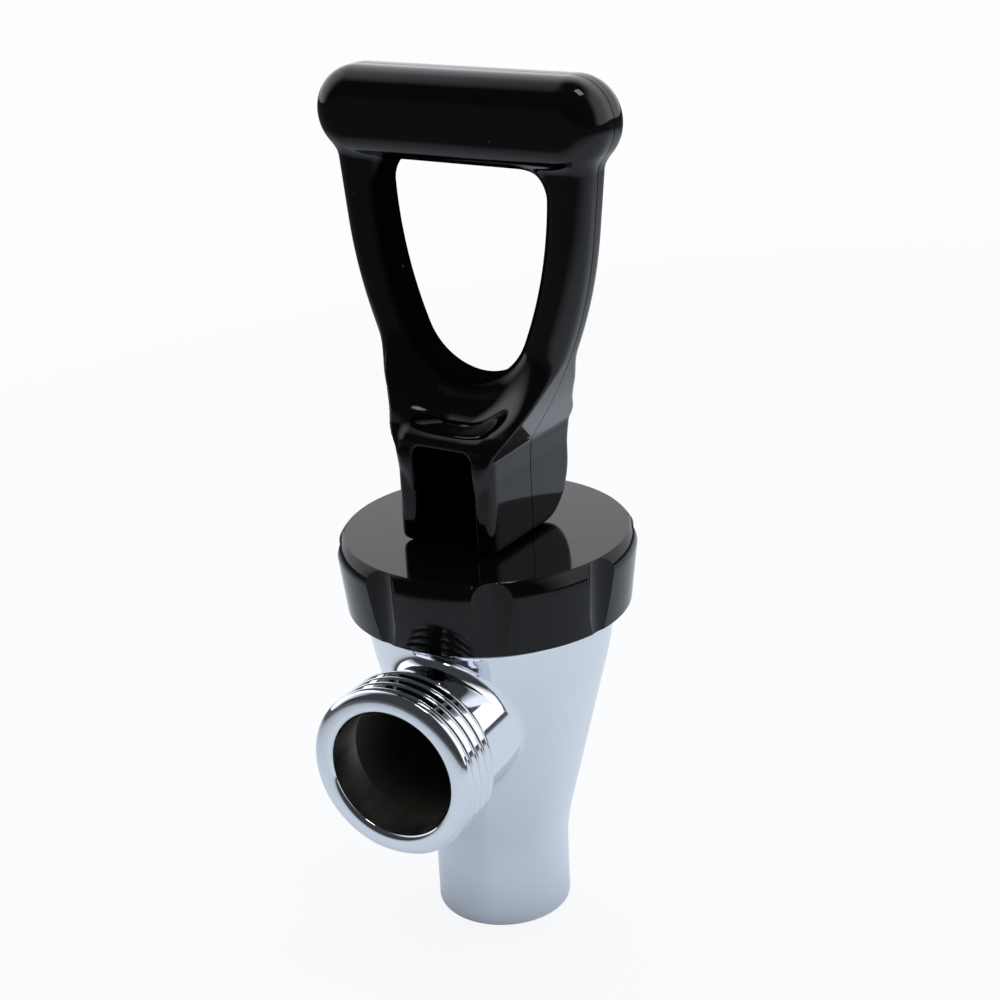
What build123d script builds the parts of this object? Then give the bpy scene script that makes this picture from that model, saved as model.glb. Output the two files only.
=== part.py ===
from build123d import *
import math
import os

# Self-closing dispenser faucet. Millimetres, +Z up, spout axis on Z, spout mouth at z = 0.
# The inlet shank points to -Y, and the handle bar runs along X before the handle is turned.

# Faucet body: straight spout, waist, long cone, threaded neck
spout_radius = 10.35
spout_bore_radius = 8.0
spout_edge_round = 0.5
waist_z = 13.0
waist_round = 30.0
cone_radius = 17.9
cone_z = 44.3
cone_round = 60.0
shoulder_radius = 18.95
shoulder_z = 51.2
neck_radius = 18.2
rim_z = 58.3

# Valve seat and water chamber inside the body
seat_z = 22.0
seat_land = 3.0
seat_opening_radius = 6.5
chamber_low_radius = 10.2
chamber_top_radius = 15.0
chamber_taper_height = 28.0

# Inlet shank: plain root neck, threaded nose, cast bore with a machined mouth
shank_z = 36.97
shank_reach = 31.36
thread_radius = 12.7
thread_length = 8.7
thread_chamfer = 1.2
nose_face_radius = 10.95
nose_cone_length = 0.6
root_radius = 10.9
root_round = 2.0
cast_bore_radius = 9.1
inlet_bore_radius = 9.43
inlet_bore_depth = 6.4
inlet_mouth_round = 0.5

# Bonnet: scalloped screw cap
bonnet_top_z = 62.8
bonnet_plate = 3.0
bonnet_flat_radius = 21.1
bonnet_crease_radius = 22.2
bonnet_crease_drop = 3.0
bonnet_shoulder_bulge = 0.45
bonnet_bottom_radius = 21.28
bonnet_bottom_z = 51.6
bonnet_thread_clearance = 0.15
scallop_count = 8
scallop_phase = 30.0
scallop_radius = 5.0
scallop_depth = 1.1

# Stem: rod, spring foot and ball end
stem_radius = 4.0
stem_clearance = 0.05
foot_radius = 7.0
foot_height = 1.8
ball_radius = 2.8
ball_drop = 3.6
ball_neck_radius = 1.8

# Seat cup: clamped flange, soft bell and solid nose
cup_flange_radius = 17.8
cup_nose_radius = 7.9
cup_low_radius = 8.9
cup_top_radius = 10.6
cup_wall = 1.2
cup_nose_height = 7.0
cup_edge_round = 0.5
cup_clearance = 0.1

# Spring and the washer it pushes against
washer_radius = 8.0
washer_height = 1.0
washer_hole_clearance = 0.15
washer_gap = 0.1
spring_radius = 6.2
spring_wire_radius = 0.65
spring_turns = 7
spring_gap = 0.05

# Handle: grip bar, two arms round a finger hole, flares and cam block
handle_turn = -4.5
bar_z = 123.4
bar_length = 46.8
bar_height = 12.7
bar_depth = 10.4
bar_edge_round = 4.0
bar_blend = 2.0
arm_top_inset = 2.0
arm_lean_low = 31.0
arm_lean_high = 5.9
arm_sweep_radius = 63.0
arm_depth = 7.2
arm_edge_round = 2.6
arm_tail = 6.0
flare_z = 79.0
flare_rise = 7.4
flare_outer_round = 1.5
hole_round = 9.9
hole_low_z = 86.3
hole_flank_lean = 22.7
hole_top_inset = 9.7
hole_corner_round = 3.6
hole_top_overlap = 0.4
rim_width = 2.4
rim_round = 2.2
pocket_half_width = 6.4
pocket_floor_z = 80.0
pocket_corner_round = 2.5

# Cam block and its pivot
block_half_width = 8.17
block_front = 10.44
block_back = 11.31
block_top_z = 77.17
block_ledge = 0.35
block_edge_round = 1.0
block_foot_round = 1.2
pin_height = 4.5
cam_gap = 0.2
cam_steps = 6
recess_half_width = 4.9
recess_top_z = 77.9
recess_depth = 4.4
recess_corner_round = 1.5
slot_clearance = 0.6
pin_radius = 1.6
pin_fit = 0.02
pin_running_clearance = 0.05
pin_blind_wall = 2.0
pin_recess = 0.3

# Heights and slopes that follow from the sizes above
bonnet_under_z = bonnet_top_z - bonnet_plate
bonnet_crease_z = bonnet_top_z - bonnet_crease_drop
cam_foot_z = bonnet_top_z + cam_gap
pin_z = cam_foot_z + pin_height
cam_rise = (block_back - pin_height) / (math.pi / 2)
arm_tail_z = block_top_z - arm_tail * math.cos(math.radians(arm_lean_low))
ledge_z = block_top_z + block_ledge
flare_top_z = flare_z + flare_rise
washer_top_z = bonnet_under_z - washer_gap
foot_z = seat_z + cup_nose_height + cup_clearance
spring_low_z = foot_z + foot_height + spring_gap
spring_high_z = washer_top_z - washer_height - spring_gap


def turned(profile):
    """Solid turned about the Z axis from a closed profile of radius and height."""
    return revolve(Plane.XZ * make_face(profile), Axis.Z)


def rounded_corner(face, corner, radius):
    """Face with the vertex nearest to the corner rounded."""
    return fillet(face.vertices().sort_by_distance(Vector(*corner))[0], radius)


def along_inlet(start_y):
    """Plane across the shank axis at a given Y, facing into the body."""
    return Plane(origin=(0, start_y, shank_z), x_dir=(1, 0, 0), z_dir=(0, 1, 0))


def rod_towards_body(radius, start_y, length):
    """Cylinder on the shank axis, from a given Y towards the body."""
    return along_inlet(start_y) * Cylinder(radius, length, align=(Align.CENTER, Align.CENTER, Align.MIN))


def make_nose():
    """Threaded nose of the shank at the thread's outside diameter, coned in front and chamfered behind."""
    outline = make_face(Polyline(
        (0, 0), (nose_face_radius, 0), (thread_radius, nose_cone_length),
        (thread_radius, thread_length - thread_chamfer), (thread_radius - thread_chamfer, thread_length),
        (0, thread_length), close=True))
    return Pos(0, -shank_reach, shank_z) * revolve(outline, Axis.Y)


def make_faucet_body():
    outline = make_face(Polyline(
        (0, 0), (spout_radius, 0), (spout_radius, waist_z), (cone_radius, cone_z),
        (shoulder_radius, shoulder_z), (neck_radius, shoulder_z), (neck_radius, rim_z), (0, rim_z),
        close=True))
    outline = rounded_corner(outline, (spout_radius, 0), spout_edge_round)
    outline = rounded_corner(outline, (spout_radius, waist_z), waist_round)
    outline = rounded_corner(outline, (cone_radius, cone_z), cone_round)
    casting = revolve(Plane.XZ * outline, Axis.Z)
    root = rod_towards_body(root_radius, -shank_reach, shank_reach)
    body = casting + root
    body = fillet(new_edges(casting, root, combined=body), root_round)
    body += make_nose()
    chamber_top_z = seat_z + chamber_taper_height
    body -= turned(Polyline(
        (0, 0), (spout_bore_radius, 0), (spout_bore_radius, seat_z - seat_land),
        (seat_opening_radius, seat_z - seat_land), (seat_opening_radius, seat_z),
        (chamber_low_radius, seat_z), (chamber_top_radius, chamber_top_z), (chamber_top_radius, rim_z),
        (0, rim_z), close=True))
    body -= rod_towards_body(cast_bore_radius, -shank_reach, shank_reach)
    body -= rod_towards_body(inlet_bore_radius, -shank_reach, inlet_bore_depth)
    mouth = body.edges().filter_by(GeomType.CIRCLE).sort_by_distance((inlet_bore_radius, -shank_reach, shank_z))[0]
    return fillet(mouth, inlet_mouth_round)


def make_bonnet():
    thread_bore = neck_radius + bonnet_thread_clearance
    shoulder_middle = (
        (bonnet_crease_radius + bonnet_flat_radius) / 2 + bonnet_shoulder_bulge,
        (bonnet_crease_z + bonnet_top_z) / 2)
    skirt = Polyline(
        (stem_radius + stem_clearance, bonnet_top_z), (stem_radius + stem_clearance, bonnet_under_z),
        (thread_bore, bonnet_under_z), (thread_bore, bonnet_bottom_z),
        (bonnet_bottom_radius, bonnet_bottom_z), (bonnet_crease_radius, bonnet_crease_z))
    shoulder = ThreePointArc(
        (bonnet_crease_radius, bonnet_crease_z), shoulder_middle, (bonnet_flat_radius, bonnet_top_z))
    top = Line((bonnet_flat_radius, bonnet_top_z), (stem_radius + stem_clearance, bonnet_top_z))
    cap = turned(skirt + shoulder + top)
    cutter = Cylinder(scallop_radius, 2 * bonnet_top_z)
    reach = bonnet_crease_radius - scallop_depth + scallop_radius
    for spot in PolarLocations(reach, scallop_count, start_angle=scallop_phase):
        cap -= spot * cutter
    return cap


def make_stem():
    ball_z = foot_z - ball_drop
    rod = Pos(0, 0, foot_z) * Cylinder(
        stem_radius, pin_z - foot_z, align=(Align.CENTER, Align.CENTER, Align.MIN))
    foot = Pos(0, 0, foot_z) * Cylinder(
        foot_radius, foot_height, align=(Align.CENTER, Align.CENTER, Align.MIN))
    ball_neck = Pos(0, 0, ball_z) * Cylinder(
        ball_neck_radius, ball_drop, align=(Align.CENTER, Align.CENTER, Align.MIN))
    stem = rod + Pos(0, 0, pin_z) * Sphere(stem_radius) + foot + ball_neck + Pos(0, 0, ball_z) * Sphere(ball_radius)
    eye = Pos(0, 0, pin_z) * Rot(0, 90, 0) * Cylinder(pin_radius + pin_running_clearance, 4 * stem_radius)
    return stem - Rot(0, 0, handle_turn) * eye


def make_seat_cup():
    floor_z = seat_z + cup_nose_height
    bell = make_face(Polyline(
        (0, seat_z), (cup_nose_radius, seat_z), (cup_low_radius, floor_z), (cup_top_radius, rim_z),
        (cup_flange_radius, rim_z), (cup_flange_radius, bonnet_under_z),
        (cup_top_radius - cup_wall, bonnet_under_z), (cup_top_radius - cup_wall, rim_z),
        (cup_low_radius - cup_wall, floor_z), (0, floor_z), close=True))
    bell = rounded_corner(bell, (cup_nose_radius, seat_z), cup_edge_round)
    cup = revolve(Plane.XZ * bell, Axis.Z)
    ball_z = foot_z - ball_drop
    socket = Pos(0, 0, ball_z) * Sphere(ball_radius + cup_clearance)
    throat = Pos(0, 0, ball_z) * Cylinder(
        ball_neck_radius + cup_clearance, 2 * ball_drop, align=(Align.CENTER, Align.CENTER, Align.MIN))
    return cup - socket - throat


def make_spring_washer():
    hole = stem_radius + washer_hole_clearance
    low_z = washer_top_z - washer_height
    return turned(Polyline(
        (hole, low_z), (washer_radius, low_z), (washer_radius, washer_top_z), (hole, washer_top_z), close=True))


def make_spring():
    height = spring_high_z - spring_low_z - 2 * spring_wire_radius
    path = Pos(0, 0, spring_low_z + spring_wire_radius) * Helix(height / spring_turns, height, spring_radius)
    section = Plane(origin=path @ 0, z_dir=path % 0) * Circle(spring_wire_radius)
    return sweep(section, path=path)


def arm_outline():
    """Front view of the arms and the web between them, from inside the block up into the bar."""
    low = math.radians(arm_lean_low)
    high = math.radians(arm_lean_high)
    top_x = bar_length / 2 - arm_top_inset
    arc_width = arm_sweep_radius * (math.cos(high) - math.cos(low))
    arc_height = arm_sweep_radius * (math.sin(low) - math.sin(high))
    straight_height = bar_z - block_top_z - arc_height
    straight_width = top_x - block_half_width - arc_width
    lead_height = (straight_width - straight_height * math.tan(high)) / (math.tan(low) - math.tan(high))
    lead = Line(
        (block_half_width - arm_tail * math.sin(low), arm_tail_z),
        (block_half_width + lead_height * math.tan(low), block_top_z + lead_height))
    sweep_out = JernArc(lead @ 1, lead % 1, arm_sweep_radius, arm_lean_low - arm_lean_high)
    edges = lead + sweep_out + Polyline(sweep_out @ 1, (top_x, bar_z), (0, bar_z), (0, arm_tail_z), lead @ 0)
    face = make_face(edges)
    return face + mirror(face, about=Plane.YZ)


def flare_outline():
    """Side view of the arms, flaring out to the front and back walls of the block."""
    arm = arm_depth / 2
    face = make_face(Polyline(
        (-block_front, arm_tail_z), (-block_front, flare_z), (-arm, flare_top_z), (-arm, bar_z),
        (arm, bar_z), (arm, flare_top_z), (block_back, flare_z), (block_back, arm_tail_z), close=True))
    for wall_y in (-block_front, block_back):
        face = rounded_corner(face, (wall_y, flare_z), flare_outer_round)
    return face


def finger_hole():
    """Front view of the finger hole: round foot, swept flanks, flat top under the bar."""
    lean = math.radians(hole_flank_lean)
    centre_z = hole_low_z + hole_round
    joint = (hole_round * math.cos(lean), centre_z - hole_round * math.sin(lean))
    foot = ThreePointArc((-joint[0], joint[1]), (0, hole_low_z), joint)
    top_x = bar_length / 2 - hole_top_inset
    top_z = bar_z - bar_height / 2 + hole_top_overlap
    flank = TangentArc(joint, (top_x, top_z), tangent=(math.sin(lean), math.cos(lean)))
    face = make_face(foot + flank + mirror(flank, about=Plane.YZ) + Line((top_x, top_z), (-top_x, top_z)))
    for side in (-1, 1):
        face = rounded_corner(face, (side * top_x, top_z), hole_corner_round)
    return face


def make_pocket(wall, side):
    """Cutter for the rounded pocket between the flares, in front of or behind the web."""
    depth = 2 * wall
    height = bar_z - pocket_floor_z
    cutter = Pos(0, side * (arm_depth / 2 + depth / 2), pocket_floor_z + height / 2) * Box(
        2 * pocket_half_width, depth, height)
    inner = cutter.edges().filter_by(Axis.Z).sort_by(Axis.Y)
    corners = inner[2:] if side < 0 else inner[:2]
    floor = cutter.faces().sort_by(Axis.Z)[0].edges().filter_by(Axis.Y)
    return fillet(list(corners) + list(floor), pocket_corner_round)


def make_cam_block():
    """Block with the cam at its lower back: its rise is proportional to the handle's angle."""
    def cam_point(angle):
        reach = pin_height + cam_rise * angle
        return (
            reach * math.sin(angle) + cam_rise * math.cos(angle),
            pin_z - reach * math.cos(angle) + cam_rise * math.sin(angle))

    points = [cam_point(math.pi / 2 * step / cam_steps) for step in range(cam_steps + 1)]
    cam = Spline(*points, tangents=((1, 0), (0, 1)))
    rest = Polyline(
        points[-1], (block_back, ledge_z), (-block_front, ledge_z),
        (-block_front, cam_foot_z), points[0])
    block = extrude(Plane.YZ * make_face(cam + rest), block_half_width, both=True)
    upright = block.edges().filter_by(Axis.Z).group_by(Axis.Y)[0]
    block = fillet(upright, block_edge_round)
    foot = [
        e for e in block.edges()
        if (e @ 0.5).Z < block_top_z - 0.1 and abs((e @ 0.5).X) > recess_half_width and abs((e % 0.5).Y) > 0.1]
    return fillet(foot, block_foot_round)


def make_shelf():
    """Floor of the pockets, between the flares and level with the walls of the block."""
    return Pos(0, -block_front, block_top_z) * Box(
        2 * pocket_half_width, block_front + block_back, pocket_floor_z - block_top_z,
        align=(Align.CENTER, Align.MIN, Align.MIN))


def make_yoke():
    """Arms and flares with the finger hole through them and a pocket on each side of the web."""
    outline = extrude(Plane.XZ * arm_outline(), 2 * block_back, both=True)
    profile = extrude(Plane.YZ * flare_outline(), bar_length, both=True)
    yoke = outline & profile
    upper = [e for e in yoke.edges() if (e @ 0.5).Z > flare_top_z and abs((e % 0.5).Z) > 0.3]
    yoke = fillet(upper, arm_edge_round)
    rim = Plane.XZ * offset(finger_hole(), rim_width)
    for side, wall in ((-1, block_front), (1, block_back)):
        yoke -= make_pocket(wall, side)
        yoke -= extrude(Pos(0, side * arm_depth / 2, 0) * rim, -side * 2 * wall)
    hole = extrude(Plane.XZ * finger_hole(), 2 * arm_depth, both=True)
    pierced = yoke - hole
    edges = [e for e in new_edges(yoke, hole, combined=pierced) if abs((e % 0.5).Y) < 0.5]
    return fillet(edges, rim_round)


def make_recess():
    """Cutter for the blind recess in the front of the block, open at the foot."""
    face = make_face(Polyline(
        (-recess_half_width, cam_foot_z - pin_height), (recess_half_width, cam_foot_z - pin_height),
        (recess_half_width, recess_top_z), (-recess_half_width, recess_top_z), close=True))
    for side in (-1, 1):
        face = rounded_corner(face, (side * recess_half_width, recess_top_z), recess_corner_round)
    return extrude(Plane.XZ.offset(block_front) * face, -recess_depth)


def make_stem_slot():
    """Cutter for the slot that the stem swings in, open at the foot and the back of the block."""
    front_y = -stem_radius - slot_clearance
    low_z = cam_foot_z - pin_height
    high_z = pin_z + stem_radius + slot_clearance
    return Pos(0, front_y, low_z) * Box(
        2 * (stem_radius + slot_clearance), 2 * block_back, high_z - low_z,
        align=(Align.CENTER, Align.MIN, Align.MIN))


def make_handle():
    bar = extrude(Plane.XZ * SlotOverall(bar_length, bar_height), bar_depth / 2, both=True)
    bar = Pos(0, 0, bar_z) * fillet(bar.edges(), bar_edge_round)
    yoke = make_yoke()
    handle = yoke + bar
    handle = fillet(new_edges(yoke, bar, combined=handle), bar_blend)
    handle += make_cam_block()
    handle += make_shelf()
    handle -= make_recess()
    handle -= make_stem_slot()
    blind = block_half_width - pin_blind_wall
    drill = Plane(origin=(blind, 0, pin_z), z_dir=(-1, 0, 0)) * Cylinder(
        pin_radius + pin_fit, 2 * bar_length, align=(Align.CENTER, Align.CENTER, Align.MIN))
    return Rot(0, 0, handle_turn) * (handle - drill)


def make_handle_pin():
    start = -block_half_width + pin_recess
    end = block_half_width - pin_blind_wall - pin_recess
    pin = Plane(origin=(start, 0, pin_z), z_dir=(1, 0, 0)) * Cylinder(
        pin_radius, end - start, align=(Align.CENTER, Align.CENTER, Align.MIN))
    return Rot(0, 0, handle_turn) * pin


def main():
    os.makedirs("parts", exist_ok=True)
    nodes = {
        "faucet_body": make_faucet_body(),
        "bonnet": make_bonnet(),
        "stem": make_stem(),
        "seat_cup": make_seat_cup(),
        "spring_washer": make_spring_washer(),
        "spring": make_spring(),
        "handle": make_handle(),
        "handle_pin": make_handle_pin(),
    }
    for name, part in nodes.items():
        export_step(part, f"parts/{name}.step")


main()
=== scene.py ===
import math

import bmesh
import bpy
import numpy as np
from mathutils import Matrix, Vector


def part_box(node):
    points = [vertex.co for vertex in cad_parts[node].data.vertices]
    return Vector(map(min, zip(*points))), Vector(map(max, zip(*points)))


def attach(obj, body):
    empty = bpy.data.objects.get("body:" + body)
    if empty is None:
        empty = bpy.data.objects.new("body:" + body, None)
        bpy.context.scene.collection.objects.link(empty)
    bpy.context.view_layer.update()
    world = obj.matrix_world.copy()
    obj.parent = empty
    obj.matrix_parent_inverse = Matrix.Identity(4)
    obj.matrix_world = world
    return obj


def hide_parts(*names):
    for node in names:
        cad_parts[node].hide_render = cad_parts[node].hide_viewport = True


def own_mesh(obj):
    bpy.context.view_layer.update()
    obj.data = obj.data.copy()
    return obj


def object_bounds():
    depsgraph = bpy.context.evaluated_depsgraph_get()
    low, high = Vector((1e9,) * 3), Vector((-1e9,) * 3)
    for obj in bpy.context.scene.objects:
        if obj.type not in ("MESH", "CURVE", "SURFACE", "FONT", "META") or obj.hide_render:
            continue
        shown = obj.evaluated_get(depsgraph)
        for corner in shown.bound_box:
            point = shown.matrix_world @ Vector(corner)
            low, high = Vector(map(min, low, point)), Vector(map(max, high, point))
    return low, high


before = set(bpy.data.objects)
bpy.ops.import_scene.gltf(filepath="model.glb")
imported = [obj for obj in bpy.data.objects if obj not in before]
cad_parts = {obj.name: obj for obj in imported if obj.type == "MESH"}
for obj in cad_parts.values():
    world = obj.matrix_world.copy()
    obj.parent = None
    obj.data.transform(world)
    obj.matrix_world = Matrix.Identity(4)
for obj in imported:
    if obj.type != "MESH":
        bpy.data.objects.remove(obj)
cad_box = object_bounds()

MM = 0.001

# Inlet shank on its own axis, depths measured back from its front face
shank_z = 36.97 * MM
shank_front_y = cad_box[0].y
mouth_radius = 9.93 * MM
mouth_depth = 0.5 * MM
inlet_bore_depth = 6.4 * MM
bore_inner_y = -5.0 * MM

# Front lip of the shank: radius and distance back of each ring, in millimetres
nose_lip = (
    (9.43, 0.9), (9.55, 0.5), (9.75, 0.22), (10.0, 0.07), (10.4, 0.0), (11.1, 0.02), (11.7, 0.1))
nose_crown_radius = 12.15 * MM
nose_crown_back = 0.3 * MM
nose_crown_length = 0.7 * MM

# Thread on the shank, with the plain root behind it
thread_radius = 12.7 * MM
thread_pitch = 25.4 * MM / 14
thread_depth = 0.5 * MM
thread_crest_share = 0.6
thread_flank_share = 0.3
thread_start = 1.1 * MM
thread_length = 8.7 * MM
thread_chamfer = 1.2 * MM
thread_turn_steps = 240
thread_station = 0.07 * MM
root_radius = 10.9 * MM

# Faces of the casting: plated outside, machined mouth and as-cast inside
plated_face, machined_face, as_cast_face = range(3)
chamber_radius = 15.0 * MM
chamber_slack = 0.2 * MM
spout_rim_height = 1.0 * MM
bore_step_slack = 0.1 * MM
level_normal_z = 0.9
weld_distance = 0.001 * MM
face_slack = 0.02 * MM

# Closing spring and seat cup, which shorten as the stem lifts
spring_radius = 6.2 * MM
spring_wire_radius = 0.65 * MM
spring_turns = 7
spring_turn_steps = 48
wire_steps = 14

# Handle in its own frame before its turn, in millimetres: the bar runs along X and the front is -Y
handle_turn = math.radians(-4.5)
bar_z = 123.4
bar_half_length = 23.4
bar_half_height = 6.35
bar_half_depth = 5.2
bar_round = 4.0
bar_blend = 1.0
block_half_width = 8.17
block_front = 10.44
block_back = 11.31
block_top_z = 77.52
block_round = 1.3
shelf_half_width = 7.4
shelf_low_z = 74.02
shelf_round = 1.5
foot_blend = 1.2
crease_z = 77.17
arm_foot_z = 72.0
arm_lead_z = 82.15
arm_lean_low = math.radians(31.0)
arm_lean_high = math.radians(5.9)
arm_sweep_radius = 63.0
arm_half_depth = 3.6
arm_round = 2.6
flare_z = 79.0
flare_top_z = 86.4
flare_edge_round = 0.7
flare_inner_blend = 5.0
flare_outer_blend = 1.5
flare_sharp_z = 85.5
flare_round_z = 91.5
hole_round = 9.9
hole_low_z = 86.3
hole_lean = math.radians(22.7)
hole_top_half_width = 13.7
hole_top_z = 117.45
hole_corner_round = 4.6
hole_edge_round = 2.0
# Painted shade: reach over which the gloss fades out inside the finger hole, so it shows black
hole_painted_shade_reach = (0.5, 1.6)
pocket_floor_z = 80.0
pocket_rib = 3.1
pocket_round = 4.4
pocket_edge_round = 2.4
recess_half_width = 4.9
recess_top_z = 77.9
recess_depth = 5.0
recess_round = 1.5
recess_edge_round = 0.7
# Painted shade: reach over which the gloss fades out inside the recess, so it shows black
recess_painted_shade_reach = (0.05, 0.5)
slot_half_width = 4.6
slot_top_z = 72.1
pin_z = 67.5
pin_height = 4.5
pin_hole_radius = 1.62
pin_blind_x = 6.17
cam_steps = 24
small_round = 0.4

# Mesh of the handle, drawn from its field, in millimetres
net_step = 0.42
net_margin = 0.7
net_settle_rounds = 5
gradient_step = 0.02
least_steepness = 0.2

# Tones of the materials, the darker one first
chrome_tones = ((0.75, 0.79, 0.84), (0.79, 0.82, 0.86))
machined_tones = ((0.12, 0.118, 0.102), (0.34, 0.333, 0.292))
as_cast_tones = ((0.05, 0.049, 0.041), (0.1, 0.097, 0.08))
plastic_tones = ((0.0017, 0.0017, 0.0018), (0.05, 0.05, 0.052))
steel_tones = ((0.54, 0.54, 0.52), (0.66, 0.66, 0.64))
stem_tones = ((0.56, 0.56, 0.54), (0.68, 0.68, 0.66))
spring_tones = ((0.52, 0.52, 0.5), (0.64, 0.64, 0.62))
silicone_tones = ((0.38, 0.41, 0.34), (0.45, 0.48, 0.41))
steel_roughness_range = 0.12
dust_reach = (0.02, 0.05)
seam_half_width = 0.14 * MM
# Mesh attribute whose fade takes the handle's gloss away as painted shade in the finger hole and the recess
painted_shade_attribute = "gloss_after_painted_shade"

# Floor, in metres: a painted pool of light round the object, painted shade farther out, and how far the
# camera sees plain white
floor_painted_light_tones = ((0.11, 0.115, 0.12), (0.69, 0.745, 0.8))
floor_half_size = 4.0
floor_drop = 0.02 * MM
painted_pool_centre = (0.1, 0.08, 0)
painted_pool_inner = 0.2
painted_pool_outer = 0.4
white_share_near = 0.88
white_share_far = 0.985

# Tent round the scene, in directions of the world
tent_tones = ((0.05, 0.053, 0.056), (1.3, 1.29, 1.36))
tent_middle_x = 0.25
tent_side_share = 0.38
tent_back_reach = (-0.1, 0.3)
tent_top_reach = (0.75, 0.95)

# Camera at the photograph's view, in a frame of 1000 pixels
camera_place = Vector((131.103, -232.582, 171.944)) * MM
camera_azimuth = math.radians(28.9408)
camera_elevation = math.radians(21.5076)
camera_roll = math.radians(-2.8162)
camera_focal_pixels = 1950.48
frame_pixels = 1000
sensor_width = 36.0


def make_object(name, mesh, body, materials, sharp_degrees):
    """A finished mesh as a piece that rides on a CAD body."""
    piece = bpy.data.objects.new(name, mesh)
    bpy.context.scene.collection.objects.link(piece)
    for material in materials:
        mesh.materials.append(material)
    mesh.shade_smooth()
    mesh.set_sharp_from_angle(angle=math.radians(sharp_degrees))
    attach(piece, body)
    return piece


def ring_faces(rows, columns):
    """Quads of a grid of points whose rows close round."""
    faces = []
    for row in range(rows - 1):
        for column in range(columns):
            a = row * columns + column
            b = row * columns + (column + 1) % columns
            faces.append((a, b, b + columns, a + columns))
    return faces


def shader(name):
    """A new material with its nodes, links and principled shader."""
    material = bpy.data.materials.new(name)
    material.use_nodes = True
    nodes = material.node_tree.nodes
    return material, nodes, material.node_tree.links, nodes["Principled BSDF"]


def feed(links, socket, value):
    """Links another node's output to a socket, or sets a plain value on it."""
    if isinstance(value, bpy.types.NodeSocket):
        links.new(value, socket)
    else:
        socket.default_value = value


def calculate(nodes, links, operation, *values):
    """Result of a math node."""
    node = nodes.new("ShaderNodeMath")
    node.operation = operation
    for socket, value in zip(node.inputs, values):
        feed(links, socket, value)
    return node.outputs["Value"]


def mix_colours(nodes, links, share, low, high):
    """A colour that runs from low to high with a share."""
    mix = nodes.new("ShaderNodeMix")
    mix.data_type = "RGBA"
    links.new(share, mix.inputs["Factor"])
    feed(links, mix.inputs["A"], low)
    feed(links, mix.inputs["B"], high)
    return mix.outputs["Result"]


def between(nodes, links, share, tones):
    """A colour that runs between two tones with a share."""
    dark, light = tones
    return mix_colours(nodes, links, share, (*dark, 1), (*light, 1))


def spread(nodes, links, value, low, high, start=0.3, end=0.7):
    """A value's range from start to end mapped to low and high."""
    ramp = nodes.new("ShaderNodeMapRange")
    ramp.inputs["From Min"].default_value = start
    ramp.inputs["From Max"].default_value = end
    ramp.inputs["To Min"].default_value = low
    ramp.inputs["To Max"].default_value = high
    links.new(value, ramp.inputs["Value"])
    return ramp.outputs["Result"]


def noise_of(nodes, links, scale, detail, stretch=(1, 1, 1)):
    """Noise in the piece's own coordinates."""
    place = nodes.new("ShaderNodeTexCoord")
    mapping = nodes.new("ShaderNodeMapping")
    mapping.inputs["Scale"].default_value = stretch
    noise = nodes.new("ShaderNodeTexNoise")
    noise.inputs["Scale"].default_value = scale
    noise.inputs["Detail"].default_value = detail
    links.new(place.outputs["Object"], mapping.inputs["Vector"])
    links.new(mapping.outputs["Vector"], noise.inputs["Vector"])
    return noise.outputs["Fac"]


def add_look(nodes, links, principled, share, tones, rough_low, rough_high):
    """Base colour and roughness that run together with a share."""
    links.new(between(nodes, links, share, tones), principled.inputs["Base Color"])
    links.new(spread(nodes, links, share, rough_low, rough_high), principled.inputs["Roughness"])


def add_bump(nodes, links, principled, height, strength, distance):
    """Fine unevenness of a surface."""
    bump = nodes.new("ShaderNodeBump")
    bump.inputs["Strength"].default_value = strength
    bump.inputs["Distance"].default_value = distance
    links.new(height, bump.inputs["Height"])
    links.new(bump.outputs["Normal"], principled.inputs["Normal"])


def make_chrome():
    """Polished plating with a slight haze and the gentle waves of the casting."""
    material, nodes, links, principled = shader("chrome")
    principled.inputs["Metallic"].default_value = 1
    haze = noise_of(nodes, links, scale=260, detail=4)
    add_look(nodes, links, principled, haze, chrome_tones, rough_low=0.03, rough_high=0.07)
    wave = noise_of(nodes, links, scale=90, detail=2)
    add_bump(nodes, links, principled, wave, strength=0.12, distance=0.1 * MM)
    return material


def make_machined():
    """Turned inside of the shank's mouth, with fine streaks along the bore's wall."""
    material, nodes, links, principled = shader("machined_bore")
    principled.inputs["Metallic"].default_value = 1
    streak = noise_of(nodes, links, scale=700, detail=3, stretch=(1, 0.12, 1))
    add_look(nodes, links, principled, streak, machined_tones, rough_low=0.42, rough_high=0.58)
    add_bump(nodes, links, principled, streak, strength=0.25, distance=0.05 * MM)
    return material


def make_as_cast():
    """Unplated cast brass inside the body, dull and dark."""
    material, nodes, links, principled = shader("as_cast_brass")
    principled.inputs["Metallic"].default_value = 0.3
    principled.inputs["Specular IOR Level"].default_value = 0.1
    grain = noise_of(nodes, links, scale=900, detail=5)
    add_look(nodes, links, principled, grain, as_cast_tones, rough_low=0.7, rough_high=0.85)
    add_bump(nodes, links, principled, grain, strength=0.4, distance=0.1 * MM)
    return material


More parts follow.
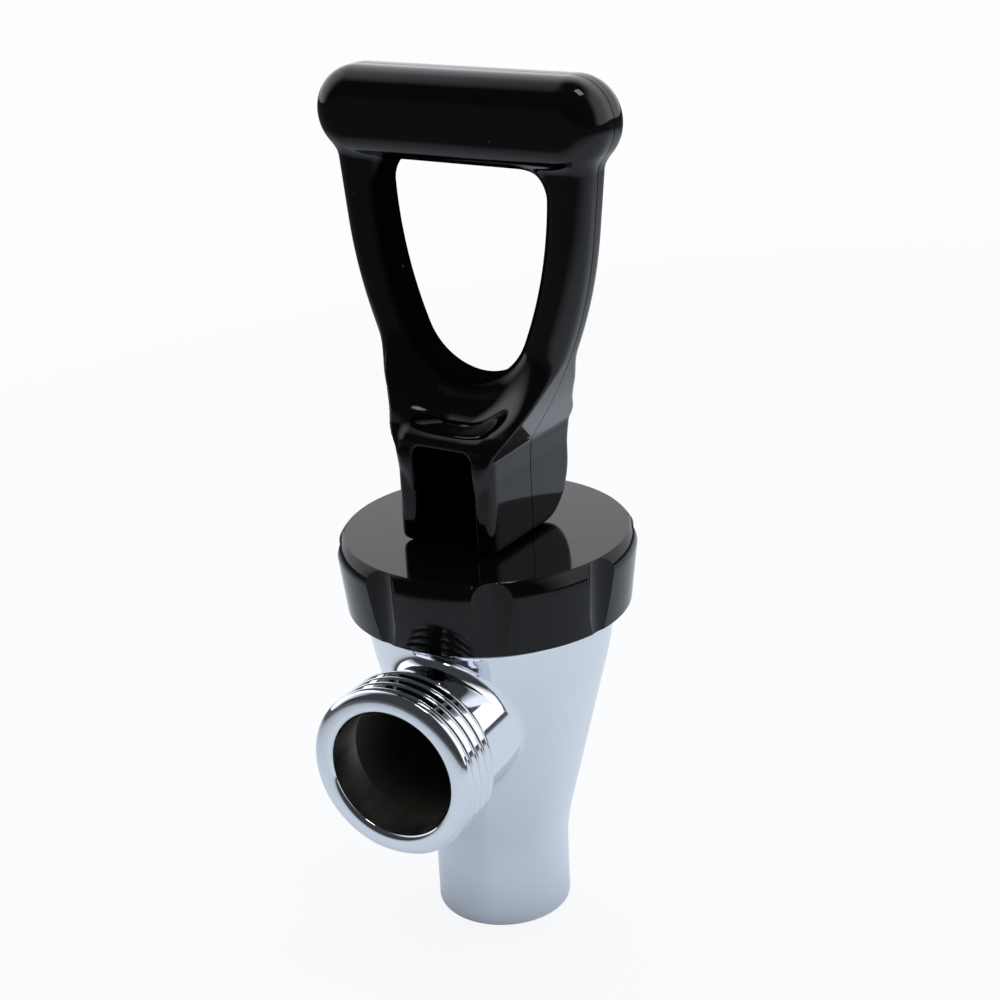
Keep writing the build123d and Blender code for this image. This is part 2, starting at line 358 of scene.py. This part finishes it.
def make_plastic(name, dust_scale, gloss, seam_turn=None):
    """Glossy moulded black with slight waves, a few pale dust specks and, on request, a mould seam and
    painted shade that takes the gloss away in hollows.
    """
    material, nodes, links, principled = shader(name)
    place = nodes.new("ShaderNodeTexCoord").outputs["Object"]
    cells = nodes.new("ShaderNodeTexVoronoi")
    cells.inputs["Scale"].default_value = dust_scale
    links.new(place, cells.inputs["Vector"])
    speck = spread(nodes, links, cells.outputs["Distance"], 1, 0, *dust_reach)
    links.new(between(nodes, links, speck, plastic_tones), principled.inputs["Base Color"])
    wave = noise_of(nodes, links, scale=130, detail=2)
    links.new(spread(nodes, links, wave, low=0.05, high=0.09), principled.inputs["Roughness"])
    principled.inputs["Specular IOR Level"].default_value = gloss
    if seam_turn is not None:
        add_seam(nodes, links, principled, place, gloss, seam_turn)
    add_bump(nodes, links, principled, wave, strength=0.08, distance=0.1 * MM)
    return material


def add_seam(nodes, links, principled, place, gloss, seam_turn):
    """Dull mould seam in the handle's middle plane, and painted shade: a gloss that the mesh's attribute
    takes away inside the finger hole and the recess.
    """
    square = nodes.new("ShaderNodeMapping")
    square.inputs["Rotation"].default_value = (0, 0, -seam_turn)
    links.new(place, square.inputs["Vector"])
    split = nodes.new("ShaderNodeSeparateXYZ")
    links.new(square.outputs["Vector"], split.inputs["Vector"])
    away = calculate(nodes, links, "ABSOLUTE", split.outputs["Y"])
    seam = spread(nodes, links, away, 0, gloss, seam_half_width / 2, seam_half_width)
    gloss_after_painted_shade = nodes.new("ShaderNodeAttribute")
    gloss_after_painted_shade.attribute_name = painted_shade_attribute
    # Painted shade: the gloss goes to nothing where the attribute is 0, in the finger hole and the recess
    level = calculate(nodes, links, "MULTIPLY", seam, gloss_after_painted_shade.outputs["Fac"])
    links.new(level, principled.inputs["Specular IOR Level"])


def make_steel(name, tones, roughness, stretch):
    """Stainless steel whose grain is stretched along its making."""
    material, nodes, links, principled = shader(name)
    principled.inputs["Metallic"].default_value = 1
    grain = noise_of(nodes, links, scale=600, detail=4, stretch=stretch)
    add_look(nodes, links, principled, grain, tones, roughness, roughness + steel_roughness_range)
    add_bump(nodes, links, principled, grain, strength=0.15, distance=0.04 * MM)
    return material


def make_silicone():
    """Cloudy moulded silicone that lets a little light in."""
    material, nodes, links, principled = shader("silicone")
    cloud = noise_of(nodes, links, scale=120, detail=3)
    add_look(nodes, links, principled, cloud, silicone_tones, rough_low=0.4, rough_high=0.55)
    principled.inputs["Subsurface Weight"].default_value = 0.15
    principled.inputs["Subsurface Radius"].default_value = (0.002, 0.002, 0.0016)
    grain = noise_of(nodes, links, scale=800, detail=3)
    add_bump(nodes, links, principled, grain, strength=0.1, distance=0.05 * MM)
    return material


def nose_envelope(back):
    """Outside radius of the shank's nose without its thread, at a distance behind the front face."""
    share = min((back - nose_crown_back) / nose_crown_length, 1)
    crown = nose_crown_radius + (thread_radius - nose_crown_radius) * math.sin(share * math.pi / 2)
    chamfer = thread_radius - thread_chamfer + (thread_length - back)
    return min(crown, chamfer)


def thread_form(back, turn):
    """Radius of the thread at a distance behind the front face and a share of a turn."""
    away = abs(((back - thread_start) / thread_pitch + turn + 0.5) % 1 - 0.5) * 2
    rise = 1 - (away - thread_crest_share) / thread_flank_share
    return thread_radius - thread_depth + thread_depth * min(max(rise, 0), 1)


def make_nose(bm):
    """Adds the threaded nose to the body's mesh: front lip, thread and back face."""
    reach = thread_length - nose_crown_back
    stations = int(round(reach / thread_station))
    rings = [(radius * MM, back * MM, False) for radius, back in nose_lip]
    rings += [(0, nose_crown_back + reach * k / stations, True) for k in range(stations + 1)]
    rings.append((root_radius, thread_length, False))
    points = []
    for radius, back, threaded in rings:
        for step in range(thread_turn_steps):
            turn = step / thread_turn_steps
            angle = 2 * math.pi * turn
            r = min(nose_envelope(back), thread_form(back, turn)) if threaded else radius
            points.append((r * math.cos(angle), shank_front_y + back, shank_z + r * math.sin(angle)))
    verts = [bm.verts.new(p) for p in points]
    for face in ring_faces(len(rings), thread_turn_steps):
        bm.faces.new([verts[corner] for corner in face])


def around_shank(p):
    """Distance from the shank's axis."""
    return math.hypot(p.x, p.z - shank_z)


def face_look(corners, normal):
    """Which of the casting's three looks a face has."""
    middle = sum(corners, Vector()) / len(corners)
    step_y = shank_front_y + inlet_bore_depth
    if middle.y < bore_inner_y and max(map(around_shank, corners)) < mouth_radius:
        before_step = min(c.y for c in corners) < step_y - bore_step_slack
        return machined_face if before_step else as_cast_face
    faces_axis = middle.x * normal.x + middle.y * normal.y < 0
    level_inside = abs(normal.z) > level_normal_z and middle.z > spout_rim_height
    within = math.hypot(middle.x, middle.y) < chamber_radius + chamber_slack
    return as_cast_face if within and (faces_axis or level_inside) else plated_face


def in_plain_nose(face):
    """Whether a face of the solid belongs to the plain nose that the threaded one replaces."""
    places = [v.co for v in face.verts]
    nose_back_y = shank_front_y + thread_length + face_slack
    mouth_back_y = shank_front_y + mouth_depth + face_slack
    outside = all(p.y < nose_back_y and around_shank(p) > root_radius - face_slack for p in places)
    return outside or all(p.y < mouth_back_y for p in places)


def make_body():
    """Chrome casting: the solid's own surface with a real thread in place of the plain nose."""
    bm = bmesh.new()
    bm.from_mesh(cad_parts["faucet_body"].data)
    bmesh.ops.remove_doubles(bm, verts=bm.verts, dist=weld_distance)
    bmesh.ops.delete(bm, geom=[f for f in bm.faces if in_plain_nose(f)], context="FACES")
    for f in bm.faces:
        f.material_index = face_look([v.co for v in f.verts], f.normal)
    make_nose(bm)
    mesh = bpy.data.meshes.new("chrome_body")
    bm.to_mesh(mesh)
    bm.free()
    looks = [make_chrome(), make_machined(), make_as_cast()]
    piece = make_object("chrome_body", mesh, "faucet", looks, sharp_degrees=30)
    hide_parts("faucet_body")


def rounded_max(radius, *fields):
    """Common part of fields with its convex edges rounded."""
    stack = np.stack(np.broadcast_arrays(*fields)) + radius
    outside = np.sqrt(np.sum(np.maximum(stack, 0) ** 2, axis=0))
    return outside + np.minimum(stack.max(axis=0), 0) - radius


def soft_min(a, b, reach):
    """Union of two fields with a concave blend."""
    h = np.maximum(reach - np.abs(a - b), 0) / reach
    return np.minimum(a, b) - h * h * reach / 4


def smooth_step(value, low, high):
    """Rise from 0 at low to 1 at high, level at both ends."""
    t = np.clip((value - low) / (high - low), 0, 1)
    return t * t * (3 - 2 * t)


def arm_half_width(z):
    """Half of the handle's outer width at a height, and the cosine of its lean there."""
    sine_low, sine_high = math.sin(arm_lean_low), math.sin(arm_lean_high)
    lead_x = block_half_width + (arm_lead_z - crease_z) * math.tan(arm_lean_low)
    centre_x = lead_x - arm_sweep_radius * math.cos(arm_lean_low)
    centre_z = arm_lead_z + arm_sweep_radius * sine_low
    end_x = centre_x + arm_sweep_radius * math.cos(arm_lean_high)
    end_z = centre_z - arm_sweep_radius * sine_high
    lean = np.arcsin(np.clip((centre_z - z) / arm_sweep_radius, sine_high, sine_low))
    width = centre_x + arm_sweep_radius * np.cos(lean)
    width = np.where(z < arm_lead_z, lead_x + (z - arm_lead_z) * math.tan(arm_lean_low), width)
    width = np.where(z > end_z, end_x + (z - end_z) * math.tan(arm_lean_high), width)
    return width, np.cos(lean)


def flare_field(y, z):
    """Side view of the arms: thin above, flaring out to the block's walls below."""
    wall = np.where(y < 0, block_front, block_back)
    out = np.abs(y)
    width, height = wall - arm_half_depth, flare_top_z - flare_z
    slope = ((out - arm_half_depth) * height + (z - flare_top_z) * width) / np.hypot(width, height)
    inner = soft_min(slope, out - arm_half_depth, flare_inner_blend)
    return rounded_max(flare_outer_blend, inner, out - wall)


def hole_field(x, z):
    """Front view of the finger hole: round foot, swept flanks and a flat top with rounded corners."""
    centre_z = hole_low_z + hole_round
    joint_x = hole_round * math.cos(hole_lean)
    joint_z = centre_z - hole_round * math.sin(hole_lean)
    run, rise = hole_top_half_width - joint_x, hole_top_z - joint_z
    bend = hole_lean - math.atan2(run, rise)
    radius = math.hypot(run, rise) / (2 * math.sin(bend))
    arc_x = joint_x - radius * math.cos(hole_lean)
    arc_z = joint_z + radius * math.sin(hole_lean)
    flank = np.hypot(np.abs(x) - arc_x, z - arc_z) - radius
    foot = np.hypot(x, z - centre_z) - hole_round
    side = np.where(z < joint_z, foot, flank)
    return rounded_max(hole_corner_round, side, z - hole_top_z)


def cam_field(y, z):
    """Lower back of the block: a curve whose reach from the pin grows with the angle."""
    rise = (block_back - pin_height) / (math.pi / 2)
    field = np.full(np.broadcast(y, z).shape, -np.inf)
    for step in range(cam_steps + 1):
        angle = math.pi / 2 * step / cam_steps
        reach = pin_height + rise * angle
        field = np.maximum(field, y * math.sin(angle) - (z - pin_z) * math.cos(angle) - reach)
    return field


def recess_field(x, y, z):
    """Hollow in the front of the block."""
    back = y + block_front - recess_depth
    return rounded_max(recess_round, np.abs(x) - recess_half_width, z - recess_top_z, back)


def yoke_field(x, y, z):
    """The two arms with their flared foot, its pockets and the finger hole."""
    width, lean_cosine = arm_half_width(z)
    side = (np.abs(x) - width) * lean_cosine
    roundness = smooth_step(z, flare_sharp_z, flare_round_z)
    edge_round = flare_edge_round + (arm_round - flare_edge_round) * roundness
    yoke = rounded_max(edge_round, side, flare_field(y, z))
    yoke = np.maximum(np.maximum(yoke, arm_foot_z - z), z - bar_z)
    pocket = rounded_max(
        pocket_round, side + pocket_rib, arm_half_depth - np.abs(y), pocket_floor_z - z)
    yoke = rounded_max(pocket_edge_round, yoke, -pocket)
    return rounded_max(hole_edge_round, yoke, -hole_field(x, z))


def bar_field(x, y, z):
    """Grip bar with round ends."""
    along = np.maximum(np.abs(x) - (bar_half_length - bar_half_height), 0)
    stadium = np.hypot(along, z - bar_z) - bar_half_height
    return rounded_max(bar_round, stadium, np.abs(y) - bar_half_depth)


def handle_field(x, y, z):
    """Signed field of the whole handle, negative inside."""
    solid = soft_min(yoke_field(x, y, z), bar_field(x, y, z), bar_blend)
    shelf = rounded_max(
        shelf_round, np.abs(x) - shelf_half_width, -block_front - y, y - block_back,
        z - pocket_floor_z, shelf_low_z - z)
    block = rounded_max(
        block_round, np.abs(x) - block_half_width, -block_front - y, cam_field(y, z), z - block_top_z)
    solid = soft_min(soft_min(solid, shelf, foot_blend), block, foot_blend)
    solid = rounded_max(recess_edge_round, solid, -recess_field(x, y, z))
    slot = rounded_max(small_round, np.abs(x) - slot_half_width, -slot_half_width - y, z - slot_top_z)
    drill = np.maximum(np.hypot(y, z - pin_z) - pin_hole_radius, x - pin_blind_x)
    for cutter in (slot, drill):
        solid = rounded_max(small_round, solid, -cutter)
    return solid


def surface_net(field, low, high, step):
    """Points and quads of a field's zero surface on a regular grid, one point in each crossed cell."""
    axes = [np.arange(a, b + step, step) for a, b in zip(low, high)]
    values = field(*np.meshgrid(*axes, indexing="ij", sparse=True))
    inside = values < 0
    shape = np.array(values.shape) - 1
    corners = [(i, j, k) for i in (0, 1) for j in (0, 1) for k in (0, 1)]

    def corner(array, c):
        return array[c[0]:c[0] + shape[0], c[1]:c[1] + shape[1], c[2]:c[2] + shape[2]]

    count = sum(corner(inside, c).astype(int) for c in corners)
    crossed = (count > 0) & (count < len(corners))
    cells = np.argwhere(crossed)
    total = np.zeros((len(cells), 3))
    hits = np.zeros(len(cells))
    for c in corners:
        for axis in range(3):
            if c[axis]:
                continue
            d = list(c)
            d[axis] = 1
            a, b = corner(values, c)[crossed], corner(values, d)[crossed]
            cut = (a < 0) != (b < 0)
            share = np.where(cut, a / np.where(cut, a - b, 1), 0)
            place = np.tile(np.array(c, float), (len(cells), 1))
            place[:, axis] = share
            total[cut] += place[cut]
            hits[cut] += 1
    points = np.array(low) + step * (cells + total / hits[:, None])
    number = -np.ones(shape, int)
    number[crossed] = np.arange(len(cells))
    quads = []
    for axis in range(3):
        first, second = (axis + 1) % 3, (axis + 2) % 3
        a = np.moveaxis(inside, (axis, first, second), (0, 1, 2))
        n = np.moveaxis(number, (axis, first, second), (0, 1, 2))
        change = a[:-1, 1:-1, 1:-1].astype(int) - a[1:, 1:-1, 1:-1].astype(int)
        i, j, k = np.nonzero(change)
        ring = np.stack([n[i, j, k], n[i, j + 1, k], n[i, j + 1, k + 1], n[i, j, k + 1]], axis=1)
        flip = change[i, j, k] < 0
        ring[flip] = ring[flip][:, ::-1]
        quads.append(ring)
    return points, np.concatenate(quads)


def field_gradient(field, points):
    """Direction in which a field grows at each point."""
    shift = np.eye(3) * gradient_step
    slope = [field(*(points + s).T) - field(*(points - s).T) for s in shift]
    return np.stack(slope, axis=1) / (2 * gradient_step)


def settle(field, points):
    """Moves points of the net onto the field's zero surface."""
    for _ in range(net_settle_rounds):
        slope = field_gradient(field, points)
        steep = np.maximum(np.sum(slope ** 2, axis=1), least_steepness)
        move = (field(*points.T) / steep)[:, None] * slope
        points -= np.clip(move, -net_step / 2, net_step / 2)


def make_handle(material):
    """Moulded handle as one smooth surface, with painted shade inside the finger hole and the recess, where
    its gloss is taken away.
    """
    low = (-bar_half_length - net_margin, -block_front - net_margin, pin_z - pin_height - net_margin)
    high = (bar_half_length + net_margin, block_back + net_margin, bar_z + bar_half_height + net_margin)
    points, quads = surface_net(handle_field, low, high, net_step)
    settle(handle_field, points)
    turn = np.array(Matrix.Rotation(handle_turn, 3, "Z"))
    mesh = bpy.data.meshes.new("black_handle")
    mesh.from_pydata((points @ turn.T * MM).tolist(), [], quads.tolist())
    # Painted shade: the gloss fades out inside the finger hole and the recess
    gloss_after_painted_shade = smooth_step(hole_field(points[:, 0], points[:, 2]), *hole_painted_shade_reach)
    gloss_after_painted_shade *= smooth_step(recess_field(*points.T), *recess_painted_shade_reach)
    values = mesh.attributes.new(painted_shade_attribute, "FLOAT", "POINT").data
    values.foreach_set("value", gloss_after_painted_shade.astype(np.float32))
    piece = make_object(
        "black_handle", mesh, "handle", [material], sharp_degrees=180)
    normals = field_gradient(handle_field, points)
    normals = normals / np.linalg.norm(normals, axis=1, keepdims=True)
    mesh.normals_split_custom_set_from_vertices((normals @ turn.T).tolist())
    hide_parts("handle")


def make_spring(material):
    """Closing spring as a wound wire with flat ends."""
    lo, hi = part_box("spring")
    low_z = lo.z + spring_wire_radius
    rise = hi.z - lo.z - 2 * spring_wire_radius
    count = spring_turns * spring_turn_steps + 1
    slope = math.atan2(rise / spring_turns, 2 * math.pi * spring_radius)
    points = []
    for k in range(count):
        angle = 2 * math.pi * k / spring_turn_steps
        out = Vector((math.cos(angle), math.sin(angle), 0))
        level = Vector((-math.sin(angle), math.cos(angle), 0))
        along = level * math.cos(slope) + Vector((0, 0, math.sin(slope)))
        side = along.cross(out)
        centre = out * spring_radius + Vector((0, 0, low_z + rise * k / (count - 1)))
        for step in range(wire_steps):
            turn = 2 * math.pi * step / wire_steps
            points.append(centre + (out * math.cos(turn) + side * math.sin(turn)) * spring_wire_radius)
    faces = ring_faces(count, wire_steps)
    faces.append(tuple(range(wire_steps)))
    faces.append(tuple(range(len(points) - 1, len(points) - wire_steps - 1, -1)))
    mesh = bpy.data.meshes.new("closing_spring")
    mesh.from_pydata(points, [], faces)
    piece = make_object(
        "closing_spring", mesh, "spring_pack", [material], sharp_degrees=40)
    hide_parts("spring")
    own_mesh(piece)


def make_cup(material):
    """The cup's own solid surface as a piece with its own mesh."""
    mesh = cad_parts["seat_cup"].data.copy()
    mesh.name = "silicone_cup"
    mesh.materials.clear()
    piece = make_object("silicone_cup", mesh, "faucet", [material], sharp_degrees=30)
    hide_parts("seat_cup")
    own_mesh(piece)


def dress_nodes():
    """Materials of the CAD nodes that are shown as they are."""
    steel = make_steel("steel", steel_tones, roughness=0.22, stretch=(1, 1, 0.1))
    looks = {
        "bonnet": make_plastic("bonnet_plastic", dust_scale=210, gloss=0.28),
        "handle_pin": steel,
        "spring_washer": steel,
        "stem": make_steel("stem_steel", stem_tones, roughness=0.18, stretch=(1, 1, 8)),
    }
    for name, material in looks.items():
        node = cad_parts[name]
        node.data.materials.clear()
        node.data.materials.append(material)


def make_floor():
    """Wide pale floor: nearly white to the camera; its colour is a painted pool of light round the object
    with painted shade farther out, seen in reflections; a faint shadow.
    """
    corners = [(-1, -1), (1, -1), (1, 1), (-1, 1)]
    mesh = bpy.data.meshes.new("floor")
    mesh.from_pydata([(x * floor_half_size, y * floor_half_size, 0) for x, y in corners], [], [(0, 1, 2, 3)])
    floor = bpy.data.objects.new("floor", mesh)
    bpy.context.scene.collection.objects.link(floor)
    floor.location.z = cad_box[0].z - floor_drop
    material, nodes, links, principled = shader("floor")
    place = nodes.new("ShaderNodeTexCoord")
    apart = nodes.new("ShaderNodeVectorMath")
    apart.operation = "DISTANCE"
    links.new(place.outputs["Object"], apart.inputs[0])
    apart.inputs[1].default_value = painted_pool_centre
    # Painted light: the floor's colour is bright in a pool round the object and dark farther out, in place
    # of a lamp's pool of light
    painted_pool = spread(nodes, links, apart.outputs["Value"], 1, 0, painted_pool_inner, painted_pool_outer)
    links.new(between(nodes, links, painted_pool, floor_painted_light_tones), principled.inputs["Base Color"])
    principled.inputs["Roughness"].default_value = 0.9
    principled.inputs["Specular IOR Level"].default_value = 0
    white = nodes.new("ShaderNodeEmission")
    white.inputs["Strength"].default_value = 1
    path = nodes.new("ShaderNodeLightPath")
    white_share = spread(nodes, links, painted_pool, white_share_far, white_share_near, 0, 1)
    share = calculate(nodes, links, "MULTIPLY", path.outputs["Is Camera Ray"], white_share)
    mix = nodes.new("ShaderNodeMixShader")
    links.new(share, mix.inputs["Fac"])
    links.new(principled.outputs["BSDF"], mix.inputs[1])
    links.new(white.outputs["Emission"], mix.inputs[2])
    links.new(mix.outputs["Shader"], nodes["Material Output"].inputs["Surface"])
    mesh.materials.append(material)


def make_world():
    """Soft tent: bright low walls at the sides and behind, dark overhead and on the camera's side."""
    world = bpy.data.worlds.new("tent")
    bpy.context.scene.world = world
    world.use_nodes = True
    nodes = world.node_tree.nodes
    links = world.node_tree.links
    place = nodes.new("ShaderNodeTexCoord")
    split = nodes.new("ShaderNodeSeparateXYZ")
    links.new(place.outputs["Generated"], split.inputs["Vector"])
    aside = calculate(nodes, links, "SUBTRACT", split.outputs["X"], tent_middle_x)
    sideways = calculate(nodes, links, "ABSOLUTE", aside)
    behind = calculate(nodes, links, "MULTIPLY_ADD", sideways, tent_side_share, split.outputs["Y"])
    back = spread(nodes, links, behind, 0, 1, *tent_back_reach)
    low = spread(nodes, links, split.outputs["Z"], 1, 0, *tent_top_reach)
    walls = calculate(nodes, links, "MULTIPLY", back, low)
    tent = between(nodes, links, walls, tent_tones)
    path = nodes.new("ShaderNodeLightPath")
    seen = mix_colours(nodes, links, path.outputs["Is Camera Ray"], tent, (1, 1, 1, 1))
    background = nodes["Background"]
    links.new(seen, background.inputs["Color"])
    background.inputs["Strength"].default_value = 1.0


def make_lamp(name, place, aim, size, power, in_reflections):
    """Square soft box aimed at a point."""
    data = bpy.data.lights.new(name, "AREA")
    data.size = size
    data.energy = power
    lamp = bpy.data.objects.new(name, data)
    bpy.context.scene.collection.objects.link(lamp)
    lamp.location = place
    lamp.rotation_mode = "QUATERNION"
    lamp.rotation_quaternion = (Vector(aim) - Vector(place)).to_track_quat("-Z", "Y")
    lamp.visible_glossy = in_reflections


def make_camera():
    """Camera that sees the object as the photograph does."""
    right = Vector((math.cos(camera_azimuth), math.sin(camera_azimuth), 0))
    back = Vector((
        math.sin(camera_azimuth) * math.cos(camera_elevation),
        -math.cos(camera_azimuth) * math.cos(camera_elevation),
        math.sin(camera_elevation)))
    up = back.cross(right)
    across = right * math.cos(camera_roll) + up * math.sin(camera_roll)
    upright = up * math.cos(camera_roll) - right * math.sin(camera_roll)
    data = bpy.data.cameras.new("camera")
    data.sensor_width = sensor_width
    data.lens = camera_focal_pixels / frame_pixels * sensor_width
    camera = bpy.data.objects.new("camera", data)
    bpy.context.scene.collection.objects.link(camera)
    turn = Matrix((across, upright, back)).transposed()
    camera.matrix_world = Matrix.Translation(camera_place) @ turn.to_4x4()
    bpy.context.scene.camera = camera


dress_nodes()
make_body()
make_handle(make_plastic("handle_plastic", dust_scale=180, gloss=0.38, seam_turn=handle_turn))
make_spring(make_steel("spring_steel", spring_tones, roughness=0.2, stretch=(1, 1, 1)))
make_cup(make_silicone())
make_floor()
make_world()
make_lamp("overhead", place=(0.0, -0.1, 1.2), aim=(0, 0, 0), size=1.6, power=9, in_reflections=False)
make_lamp("softbox", place=(0.3, -0.1, 1.25), aim=(0, 0, 0.07), size=0.32, power=1.6, in_reflections=True)
make_camera()
bpy.context.scene.view_settings.view_transform = "Standard"
